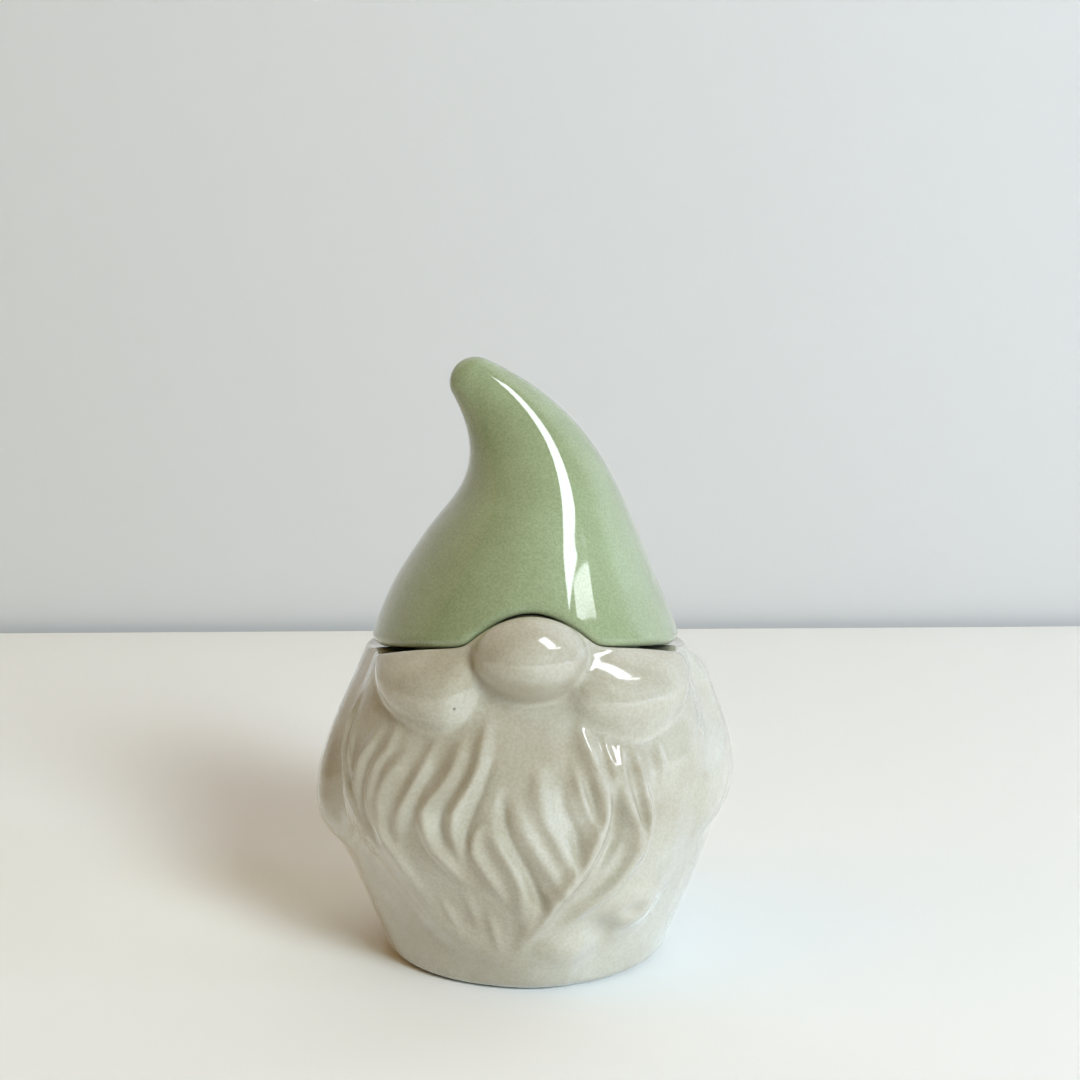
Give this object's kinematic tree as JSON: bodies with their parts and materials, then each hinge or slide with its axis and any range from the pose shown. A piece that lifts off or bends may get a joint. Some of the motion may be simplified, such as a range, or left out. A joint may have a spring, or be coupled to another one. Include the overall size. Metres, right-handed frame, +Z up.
{
  "type": "tomte gnome jar",
  "caption": "Glazed cast gnome with a wavy beard, round nose and folded-over pointed hat; the hat is a lid that lifts off the hollow body, a small storage jar.",
  "frame": {"origin": "middle of the flat underside of the foot", "axes": "+Z up, the face looks along -Y, +X towards the figure's left arm"},
  "size_m": [0.0835, 0.0829, 0.118],
  "materials": {
    "grey_body": "high-gloss sealed casting, pale warm grey with fine speckle and a few pinholes",
    "sage_hat": "high-gloss sealed casting, sage green with fine mottling"
  },
  "bodies": {
    "jar": {"gnome_jar": "grey_body"},
    "lid": {"hat_lid": "sage_hat"}
  },
  "joints": [
    {"name": "lid_lift", "type": "slide", "parent": "jar", "child": "lid", "axis": [0, 0, 1], "range_m": [0, 0.06]}
  ]
}
